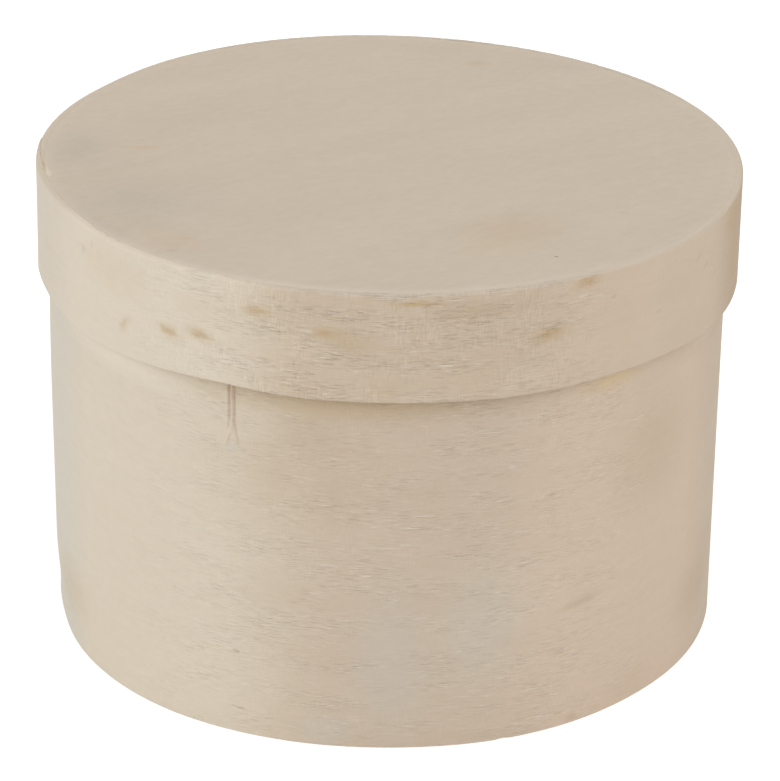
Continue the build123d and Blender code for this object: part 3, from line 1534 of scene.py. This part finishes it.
def lap_glue_sheet(strip: Strip, inset: float) -> Sheet:
    """The glue in a strip's lap: a thin slab between the two bevels, with a narrow bead where it comes out
    along the outer end.

    The slab is a grid of places along the lap by heights, once on its inner side and once on its outer one.
    Its inner side lies on the inner bevel and its outer side under the outer one. Past the outer end, both
    sides go on for the bead's width and nearly meet. How nearly wanders with the height. The mask is 1 on
    the bead and on the upper edge, where the glue was squeezed out.

    Args:
        strip: The strip.
        inset: How far the slab stays from the strip's lower and upper edges.

    Returns:
        The closed surface.
    """
    bead = math.degrees(LAP_BEAD / strip.outer)
    over_lap = np.linspace(0.0, strip.scarf_angle, LAP_PLACES)
    along = np.append(over_lap, strip.scarf_angle + bead * np.array(LAP_BEAD_ROWS))[:, None]
    rows = np.linspace(0.0, 1.0, LAP_ROWS)[None, :]
    bearing = strip.bearing(along)
    inset = inset + strip.worn(along + FULL_TURN)
    heights = (1.0 - rows) * (strip.foot(bearing) + inset) + rows * (strip.crest(bearing) - inset)
    nearness = 0.75 + 0.25 * np.cos(heights * 0.9 + 1.3 * np.sin(heights * 0.23))
    past = ramp(along, strip.scarf_angle, strip.scarf_angle + bead)
    inside = strip.outer_face(along) + strip.crookedness(bearing, heights)
    film = strip.lap.glue * (1.0 - strip.lap.squeeze * ramp(along, 0.0, strip.scarf_angle))
    outside = inside + film * (1.0 - 0.9 * past * nearness)
    radii = np.concatenate([inside, outside[:, ::-1]], axis=1)
    tall = np.concatenate([heights, heights[:, ::-1]], axis=1)

    count, columns = radii.shape
    flipped = strip.lap.winding is Winding.COUNTER_CLOCKWISE
    start = np.arange(columns // 2)
    rungs = [start[:-1], columns - 1 - start[:-1], columns - 1 - start[1:], start[1:]]
    last = np.stack(rungs, axis=-1)[:, :: 1 if flipped else -1] + (count - 1) * columns
    first = last[:, ::-1] - (count - 1) * columns
    quads = np.concatenate([woven_faces(count, columns, flipped, tube=True), first, last])
    grain = np.stack([np.radians(along) * strip.outer + 0.0 * tall, tall], axis=-1).reshape(-1, 2)
    triangles, triangle_grain = no_triangles()
    squeezed = np.maximum(past * (rows > 0.02) * (rows < 0.98), (rows > 0.99) + 0.0 * along)
    mask = np.concatenate([squeezed, squeezed[:, ::-1]], axis=1).ravel()
    points = round_points(radii, tall, bearing).reshape(-1, 3)
    return Sheet(points, quads, grain[quads], triangles, triangle_grain, mask)


@dataclass
class Lid:
    """The upper half: a low rim with a board in its top. It slips down over the wall. The board lies below
    the rim's edge by the flush, and in its middle by the cup as well. Glue was squeezed out beside the lap,
    and the top was sanded down here and there. The board's edge band is palest at one angle, by wear and
    painted light, and the glue's skin lies deeper at another."""

    lap: Lap = Lap(angle=188.0, winding=Winding.CLOCKWISE, scarf=14.0, tip=0.04, glue=0.22, squeeze=0.95)
    squeezed_out: tuple[Dip, ...] = (Dip(187.8, 3.0, 0.3), Dip(192.4, 0.9, 0.25), Dip(195.8, 1.5, 0.35))
    sanded_down: tuple[Dip, ...] = (
        Dip(62.0, 44.0, -0.6),
        Dip(5.0, 45.0, -0.35),
        Dip(90.0, 200.0, -0.12),
        Dip(158.0, 24.0, -0.28),
    )
    nicks: tuple[Dip, ...] = (Dip(216.2, 1.2, -0.12), Dip(219.5, 0.9, -0.16), Dip(222.5, 1.0, -0.12))
    bulges: tuple[Bulge, ...] = (
        Bulge(207.0, 83.0, 13.0, 9.0, -0.5),
        Bulge(188.0, 74.0, 13.0, 22.0, -0.3),
        Bulge(146.0, 83.0, 9.0, 12.0, -0.3),
        Bulge(95.0, 60.0, 40.0, 20.0, -0.12),
    )
    foot_dips: tuple[Dip, ...] = (
        Dip(216.0, 11.0, -0.78),
        Dip(244.0, 9.0, 0.5),
        Dip(270.0, 18.0, 0.24),
        Dip(308.0, 8.0, 0.2),
        Dip(330.0, 8.0, -0.6),
        Dip(342.0, 8.0, -0.6),
        Dip(353.0, 9.0, -0.6),
        Dip(301.8, 0.8, 0.15),
        Dip(60.0, 30.0, 0.2),
    )
    fineness: Fineness = Fineness(
        places=1150,
        rows=24,
        margin=0.02,
        crowded_angles=((219.5, 4.0, 1.5), (301.8, 1.0, 3.0)),
        crowded_rows=((0.0, 0.03, 6.0), (1.0, 0.03, 6.0)),
    )
    flush: float = 0.05
    cup: float = 0.06
    board_round: float = 0.05
    board_edge: Wobble = Wobble(0.5, 20, 200, 31)
    board_fray: float = 0.03
    # the angle where the board's edge band is palest: sanding wear and painted light
    most_worn_and_lit: Dip = Dip(252.0, 42.0, 0.7)
    bead: Bead = Bead(width=0.36, skin=0.12, overlap=0.04, wander=0.3, line=Wobble(0.6, 3, 60, 41))
    skin_sunk: Dip = Dip(212.0, 18.0, -0.1)
    lap_inset: float = 0.04

    def __post_init__(self) -> None:
        """Reads the half's sizes from the frame."""
        rim_low, rim_high = node_span("rim_ring")
        glue_low, glue_high = node_span("lid_board_glue")
        self.rim = Strip(
            inner=glue_high.x,
            outer=rim_high.x,
            bottom=rim_low.z,
            top=rim_high.z,
            lap=self.lap,
            edge_round=0.35,
            inner_round=0.06,
            bulges=self.bulges,
            foot_dips=self.foot_dips,
            crest_dips=self.sanded_down + self.nicks,
            fray=0.03,
        )
        self.board_levels = (node_span("lid_board")[0].z, rim_high.z - self.flush)
        self.bead_foot = glue_low.z

    def warp(self, x: Numbers, y: Numbers) -> np.ndarray:
        """How far the top of the lid board stands above its level. It was sanded together with the rim, so
        towards its edge it follows the rim's upper edge down, and in its middle it is lower by the cup.

        Args:
            x: X in millimetres.
            y: Y in millimetres.

        Returns:
            The rise in millimetres.
        """
        outwards = np.hypot(x, y) / self.rim.inner
        bearing = np.degrees(np.arctan2(y, x))
        edge = outwards**2 * sum(dip.at(bearing) for dip in self.sanded_down)
        return edge - self.cup * (1.0 - outwards**2)

    def wedge(self, bearing: np.ndarray) -> np.ndarray:
        """The width of the gap beside the board where the rim climbs over its inner end."""
        return self.rim.climb(self.rim.along(bearing))

    def board_sheet(self) -> Sheet:
        """Draws the lid board. It is round, so it leaves a wedge open where the rim climbs.

        Returns:
            Its surface.
        """
        angles = np.arange(0.0, FULL_TURN, 0.5)
        edge = self.rim.inside_radius(angles, self.board_levels[1]) - self.wedge(angles)
        edge = edge - self.board_fray * np.abs(self.board_edge.at(angles))
        # the pale edge band of wear and painted light, strongest towards the front
        wear_and_light = 1.0 - self.most_worn_and_lit.rise + self.most_worn_and_lit.at(angles)
        return disc_surface(edge, angles, self.board_levels, self.board_round, self.warp, wear_and_light)

    def bead_sheet(self) -> Sheet:
        """Draws the glue round the lid board: a skin in the joint, and a thin bead under the lid. The skin
        stays below the top, except beside the lap, where it fills the wedge and was squeezed up in lumps.

        Returns:
            Its surface.
        """
        angles = np.arange(0.0, FULL_TURN, 0.5)
        turns = np.radians(angles)
        under, top = self.board_levels
        wander = self.bead.wandering(angles)
        lump = sum(dip.at(angles) for dip in self.squeezed_out)[:, None]
        wedge = self.wedge(angles)[:, None]
        inside = self.rim.inside_radius(angles, under) + self.bead.overlap
        rim_side = inside[:, None]
        skin_side = rim_side - self.bead.skin - wedge
        board_side = skin_side - 0.3 * lump
        rise = self.warp(inside * np.cos(turns), inside * np.sin(turns)) + self.skin_sunk.at(angles)
        level = top + rise[:, None] + 0.1 * lump * wander
        smear = self.rim.crest(angles)[:, None] + 0.12 * lump * wander
        tall = (under - self.bead_foot) * np.clip(wander, self.bead.least, 1.0)
        width = self.bead.width * np.clip(wander, 0.5, 1.1)
        corner = np.full_like(rim_side, under)

        # From the lump on the rim down the joint, round the bead under the lid, and up beside the board
        outline = [
            (rim_side + 0.6 * lump, level + (smear - level) * lump),
            (rim_side, corner),
            (rim_side, under - tall),
            (rim_side - 0.35 * width, under - 0.45 * tall),
            (rim_side - width - wedge, corner),
            (skin_side, corner + 0.1),
            (skin_side, level - 0.25),
            (board_side, level - 0.02),
            ((rim_side + board_side) / 2.0, level + 0.8 * (smear - level) * lump),
        ]
        radii, heights = (np.concatenate(column, axis=1)[:, ::-1] for column in zip(*outline))
        bare = np.minimum(2.0 * lump + 8.0 * wedge, 1.0)
        squeezed = np.maximum(bare, heights < under + 0.05)
        return closed_ring(radii, heights, angles, squeezed)

    def build(self, veneer: bpy.types.Material, board: bpy.types.Material, glue: bpy.types.Material) -> None:
        """Makes and dresses every piece of this half.

        Args:
            veneer: The rim's material.
            board: The lid board's material.
            glue: The glue's material.
        """
        lap = lap_glue_sheet(self.rim, self.lap_inset)
        Piece.settle(self.fineness.sheet(self.rim), "rim_strip", "lid", "rim_ring", "rim_veneer", veneer)
        Piece.settle(self.board_sheet(), "lid_disc", "lid", "lid_board", "board_wood", board)
        Piece.settle(self.bead_sheet(), "lid_glue_bead", "lid", "lid_board_glue", "dried_glue", glue)
        Piece.settle(lap, "rim_lap_glue_line", "lid", "rim_lap_glue", "dried_glue", glue)


# The studio

@dataclass(frozen=True)
class Lamp:
    """A broad soft lamp far away. Its azimuth is the angle round the box that it shines from, its elevation
    how high above the floor it stands, and its spread the angle that it covers in the sky. A strength of pi
    lights a white wall that faces it to white."""

    name: str
    azimuth: float
    elevation: float
    strength: float
    spread: float
    colour: Colour

    def hang(self) -> None:
        """Puts the lamp up."""
        data = bpy.data.lights.new(self.name, "SUN")
        data.energy, data.angle, data.color = self.strength, math.radians(self.spread), self.colour
        turn, tilt = math.radians(self.azimuth), math.radians(self.elevation)
        towards = Vector((math.cos(turn) * math.cos(tilt), math.sin(turn) * math.cos(tilt), math.sin(tilt)))
        lamp = bpy.data.objects.new(self.name, data)
        lamp.rotation_mode = "QUATERNION"
        lamp.rotation_quaternion = towards.to_track_quat("Z", "Y")
        lamp.location = towards
        bpy.context.scene.collection.objects.link(lamp)


@dataclass(frozen=True)
class Studio:
    """The floor, the light and the camera. The camera looks down by the elevation and is turned by the roll.
    It is the distance away from a point above the origin, and moved a little to the right and up. Lengths
    are in metres, but for the lens and its sensor."""

    floor_radius: float = 3.0
    ring_shares: Triple = (0.05, 0.2, 1.0)
    elevation: float = 25.2
    roll: float = 0.906
    distance: float = 0.68668
    aim_height: float = 0.0414
    aim_right: float = 0.000701
    aim_up: float = -0.00271
    lens: float = 181.4
    sensor: float = 36.0
    sky: Colour = (0.76, 0.76, 0.76)
    lamps: tuple[Lamp, ...] = (
        Lamp("window", 196.0, 18.0, 0.62, 50.0, (0.86, 0.97, 1.0)),
        Lamp("room", 300.0, 55.0, 0.50, 70.0, (1.0, 0.97, 0.93)),
    )

    def floor(self) -> None:
        """A wide round floor: rings of points, closed in the middle."""
        angles = np.arange(0.0, FULL_TURN, 7.5)[:, None]
        radii = self.floor_radius * np.array(self.ring_shares)[None, :] * np.ones_like(angles)
        rings = round_points(radii, np.zeros_like(radii), angles)
        points = np.append(rings.reshape(-1, 3), [[0.0, 0.0, 0.0]], axis=0)
        rows, columns = radii.shape
        quads = woven_faces(rows, columns, True, ring=True)
        first = np.arange(rows) * columns
        fan = np.stack([first, np.roll(first, -1), np.full(rows, rows * columns)], axis=-1)
        mesh = bpy.data.meshes.new("floor")
        mesh.from_pydata(points.tolist(), [], quads.tolist() + fan.tolist())
        mesh.update()
        floor = bpy.data.objects.new("floor", mesh)
        floor.data.materials.append(StudioWhite().material())
        bpy.context.scene.collection.objects.link(floor)

    def world(self) -> None:
        """An even pale sky, which the camera sees as white, also by way of a mirror."""
        world = bpy.data.worlds.new("studio")
        bpy.context.scene.world = world
        tree = Tree(world)
        light = tree.add("Background", None, {"Color": (*self.sky, 1.0)})
        white = tree.add("Background", None, {"Color": (1.0, 1.0, 1.0, 1.0)})
        rays = tree.add("LightPath").outputs
        kinds = {0: rays["Is Camera Ray"], 1: rays["Is Glossy Ray"]}
        seen = tree.add("Math", {"operation": "MAXIMUM"}, kinds)
        mix = tree.add("MixShader", None, {0: seen.outputs[0], 1: light.outputs[0], 2: white.outputs[0]})
        tree.add("OutputWorld", None, {"Surface": mix.outputs[0]})

    def camera(self) -> None:
        """The photograph's camera: in front and above, aimed just beside the middle of the box."""
        tilt, turn = math.radians(self.elevation), math.radians(self.roll)
        ahead = Vector((0.0, math.cos(tilt), -math.sin(tilt)))
        right = Vector((1.0, 0.0, 0.0))
        up = right.cross(ahead)
        place = Vector((0.0, 0.0, self.aim_height)) - ahead * self.distance
        place += right * self.aim_right + up * self.aim_up
        side = math.cos(turn) * right + math.sin(turn) * up
        top = math.cos(turn) * up - math.sin(turn) * right
        data = bpy.data.cameras.new("photo_camera")
        data.lens, data.sensor_width = self.lens, self.sensor
        camera = bpy.data.objects.new("photo_camera", data)
        axes = Matrix((side, top, -ahead)).transposed().to_4x4()
        camera.matrix_world = Matrix.Translation(place) @ axes
        bpy.context.scene.collection.objects.link(camera)
        bpy.context.scene.camera = camera

    def build(self) -> None:
        """Sets up the whole studio."""
        self.floor()
        self.world()
        for lamp in self.lamps:
            lamp.hang()
        self.camera()
        bpy.context.scene.view_settings.view_transform = "Standard"
        log.info("studio: floor, sky, %d lamps and the camera", len(self.lamps))


# The wood's marks and stretches, as the photograph shows them

RIM_MARKS = (
    *pin_knot(225.1, 69.6, 0.8, 0.5, 50.0),
    *pin_knot(234.6, 71.3, 1.0, 0.9, -8.0),
    *pin_knot(240.4, 72.3, 1.1, 0.9, -8.0),
    *pin_knot(250.2, 78.4, 1.0, 1.0, -3.0),
    *pin_knot(260.8, 76.0, 1.0, 1.0),
    Mark(264.0, 75.0, 4.5, 2.4, Tint.AMBER, 0.22),
    *pin_knot(295.7, 74.3, 1.3, 1.0, 3.0),
    *pin_knot(302.1, 82.0, 1.1, 1.0, 3.0),
    Mark(264.5, 74.5, 6.5, 3.4, Tint.TAN, 0.4),
    Mark(274.3, 81.5, 6.0, 0.75, Tint.AMBER, 0.9),
    Mark(277.6, 81.4, 2.6, 0.5, Tint.KNOT, 0.2),
    Mark(283.0, 79.6, 11.0, 2.8, Tint.TAN, 0.5),
    Mark(257.0, 66.0, 10.0, 2.8, Tint.AMBER, 0.15),
    Mark(269.5, 66.5, 4.5, 3.2, Tint.AMBER, 0.17),
    Mark(283.0, 68.5, 10.0, 4.5, Tint.AMBER, 0.10),
    Mark(273.0, 67.0, 6.0, 3.4, Tint.TAN, 0.15),
    Mark(343.0, 79.5, 8.0, 3.6, Tint.AMBER, 0.45),
    Mark(221.0, 78.0, 15.0, 6.5, Tint.AMBER, 0.11),
    Mark(242.5, 77.2, 10.0, 4.5, Tint.AMBER, 0.13),
    Mark(256.5, 73.4, 8.0, 3.6, Tint.CHALK, 0.14),
    Mark(292.5, 66.5, 8.0, 4.4, Tint.CHALK, 0.15),
    Mark(306.9, 78.2, 1.1, 0.5, Tint.SHADE, 0.5, 30.0),
    Mark(316.9, 72.6, 1.2, 0.5, Tint.SHADE, 0.5),
    Mark(327.7, 78.4, 1.7, 0.45, Tint.SHADE, 0.6, 30.0),
    Mark(330.2, 76.0, 1.2, 0.45, Tint.SHADE, 0.5, 30.0),
    Mark(213.8, 78.6, 0.9, 1.2, Tint.SHADE, 0.4),
    Mark(216.5, 80.5, 0.8, 1.0, Tint.SHADE, 0.3),
)

RIM_STRETCHES = (
    # paler stretch at the left: paler veneer, and painted light from the window side
    Stretch(166.0, 190.0, 242.0, 259.0, Tint.CREAM, 1.0),
    # greyer stretch that takes some of that painted light back out where the window lamp faces the strip
    Stretch(166.0, 186.0, 197.0, 214.0, Tint.GREY, 0.45),
    Stretch(292.0, 302.0, 310.0, 320.0, Tint.PEACH, 0.5),
    Stretch(309.0, 317.0, 330.0, 350.0, Tint.CREAM, 0.26),
    Stretch(331.0, 347.0, 362.0, 390.0, Tint.RUSSET, 0.95),
)

RIM_LIVELY = (
    Stretch(222.0, 252.0, 292.0, 310.0),
    Stretch(15.0, 50.0, 110.0, 145.0, depth=0.6),
)

WALL_MARKS = (
    Mark(257.5, 57.5, 8.0, 7.0, Tint.TAN, 0.3),
    Mark(262.0, 46.0, 8.0, 8.0, Tint.TAN, 0.2),
    Mark(320.0, 47.0, 15.0, 17.0, Tint.TAN, 0.3),
    Mark(271.5, 16.0, 10.0, 22.0, Tint.GREY, 0.6),
    Mark(304.5, 22.8, 7.0, 1.2, Tint.TAN, 0.45, 8.0),
    Mark(201.0, 10.0, 14.0, 9.0, Tint.AMBER, 0.27),
    Mark(245.5, 15.3, 0.45, 0.45, Tint.DARK, 0.42),
    Mark(246.0, 4.8, 2.2, 0.22, Tint.DARK, 0.6),
    # painted shade in the torn fibre's two grooves, lighter in the left one and darker in the right one
    Mark(244.42, 61.5, 0.3, 3.6, Tint.TAN, 0.15),
    Mark(245.35, 60.2, 0.24, 5.2, Tint.SHADE, 0.25),
    Mark(244.9, 52.4, 1.6, 1.8, Tint.MILK, 0.5),
    # painted shadow under the rim's lower edge
    Mark(268.0, 64.6, 56.0, 2.6, Tint.TAN, 0.45),
    # painted light under the rim at the left, where the window light reaches under it
    Mark(220.0, 62.5, 28.0, 5.5, Tint.CHALK, 0.8),
    # painted warm shade under the rim
    Mark(263.0, 63.2, 44.0, 5.0, Tint.AMBER, 0.55),
    # painted warm shade under the rim, at the right
    Mark(309.0, 62.3, 10.0, 3.2, Tint.STRAW, 0.4),
    # painted warm shade in the joint under the rim's edge
    Mark(318.0, 65.0, 20.0, 2.0, Tint.AMBER, 0.5),
    Mark(252.0, 50.0, 7.0, 9.0, Tint.AMBER, 0.15),
    Mark(250.0, 48.0, 19.0, 17.0, Tint.TAN, 0.15),
    Mark(264.0, 53.5, 12.0, 8.0, Tint.AMBER, 0.14),
    Mark(294.0, 27.0, 11.0, 10.0, Tint.CHALK, 0.13),
    Mark(251.5, 27.0, 12.0, 8.0, Tint.TAN, 0.1),
    Mark(286.0, 22.0, 11.0, 16.0, Tint.MILK, 0.35),
    Mark(261.0, 3.0, 7.0, 5.0, Tint.MILK, 0.4),
    Mark(338.0, 12.0, 14.0, 9.0, Tint.TAN, 0.32),
    Mark(316.5, 3.0, 9.0, 5.0, Tint.TAN, 0.13),
    Mark(303.5, 1.2, 2.2, 1.6, Tint.TAN, 0.3),
    Mark(293.0, 13.0, 9.0, 6.0, Tint.CHALK, 0.09),
    # painted light under the rim at the right, which lifts its shade
    Mark(338.0, 61.5, 10.0, 3.0, Tint.CREAM, 0.4),
)

WALL_STRETCHES = (
    # paler stretch at the left: paler veneer, and painted light from the window side
    Stretch(168.0, 192.0, 240.0, 264.0, Tint.CREAM, 0.85),
    # milkier stretch that takes some of that painted light back out where the window lamp faces the strip
    Stretch(176.0, 190.0, 199.0, 212.0, Tint.MILK, 0.6),
    Stretch(285.0, 303.0, 328.0, 345.0, Tint.PEACH, 0.8),
)

WALL_LIVELY = (
    Stretch(212.0, 246.0, 305.0, 328.0),
    Stretch(10.0, 40.0, 75.0, 98.0, depth=0.6),
)

BOARD_MARKS = (
    # painted highlight along the board's raised left edge
    Mark(-57.5, -10.0, 5.0, 0.8, Tint.CREAM, 0.55, 100.0),
    # painted shadow that the rim casts on the board at the left
    Mark(-53.0, 0.0, 15.0, 9.0, Tint.SHADE, 0.55, 90.0),
    Mark(-41.6, 1.5, 4.2, 1.2, Tint.AMBER, 0.45),
    Mark(20.8, -32.0, 15.0, 11.0, Tint.TAN, 0.3),
    Mark(-34.5, -43.1, 1.8, 1.0, Tint.TAN, 0.5),
    Mark(-32.3, -38.1, 2.2, 0.9, Tint.TAN, 0.5),
    Mark(15.8, 45.5, 4.0, 2.4, Tint.TAN, 0.4),
    Mark(-41.0, -23.0, 20.0, 17.0, Tint.SHADE, 0.5),
    # painted shade along the rim at the front left
    Mark(-46.5, -33.0, 14.0, 3.2, Tint.SHADE, 0.35, 126.0),
    Mark(-37.0, -36.5, 16.0, 8.0, Tint.RUSSET, 0.24, 134.0),
    Mark(-44.5, -6.0, 9.0, 6.5, Tint.SHADE, 0.17),
    Mark(17.5, -40.5, 12.0, 7.0, Tint.AMBER, 0.12),
    Mark(9.0, 53.0, 12.0, 5.0, Tint.TAN, 0.15),
    Mark(32.5, 44.5, 8.0, 4.5, Tint.SHADE, 0.22),
    Mark(27.0, -43.1, 0.4, 0.6, Tint.DARK, 0.9),
    Mark(44.8, 0.6, 0.7, 0.4, Tint.SHADE, 0.7, 80.0),
    Mark(38.5, -24.0, 2.2, 0.5, Tint.SHADE, 0.5, 10.0),
)


def main() -> None:
    """Builds the box, the lid and the studio, and reports them."""
    logging.basicConfig(level=logging.INFO, format="%(name)s: %(message)s")
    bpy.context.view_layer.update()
    body, lid = BoxBody(), Lid()
    wall_wood = StripWood(
        name="wall_veneer", pale=(0.675, 0.565, 0.45), deep=(0.61, 0.49, 0.375), seed=4.0,
        clouds=0.9, streaks=0.5, blotches=0.07, fibres=0.17, dashes=0.095, checks=0.10,
        calm=0.04, carving=0.6, relief=0.075,
        strip=body.wall, marks=WALL_MARKS, stretches=WALL_STRETCHES, lively=WALL_LIVELY,
    )
    rim_wood = StripWood(
        name="rim_veneer", pale=(0.67, 0.55, 0.425), deep=(0.60, 0.475, 0.35), seed=17.0,
        clouds=0.9, streaks=0.4, blotches=0.06, fibres=0.27, dashes=0.12, checks=0.30,
        calm=0.16, carving=0.7, relief=0.10,
        strip=lid.rim, marks=RIM_MARKS, stretches=RIM_STRETCHES, lively=RIM_LIVELY,
    )
    lid_wood = BoardWood(
        name="lid_board_wood", pale=(0.615, 0.525, 0.425), deep=(0.575, 0.475, 0.375), seed=29.0,
        clouds=0.9, streaks=0.5, blotches=0.11, fibres=0.01, dashes=0.01, checks=0.015,
        calm=1.0, carving=0.2, relief=0.03,
        grain_angle=32.0, marks=BOARD_MARKS,
    )
    base_wood = replace(lid_wood, name="base_board_wood", seed=41.0, grain_angle=-17.0, marks=())
    glue = DriedGlue().material()
    body.build(wall_wood.material(), base_wood.material(), glue)
    lid.build(rim_wood.material(), lid_wood.material(), glue)
    Studio().build()


if __name__ == "__main__":
    main()
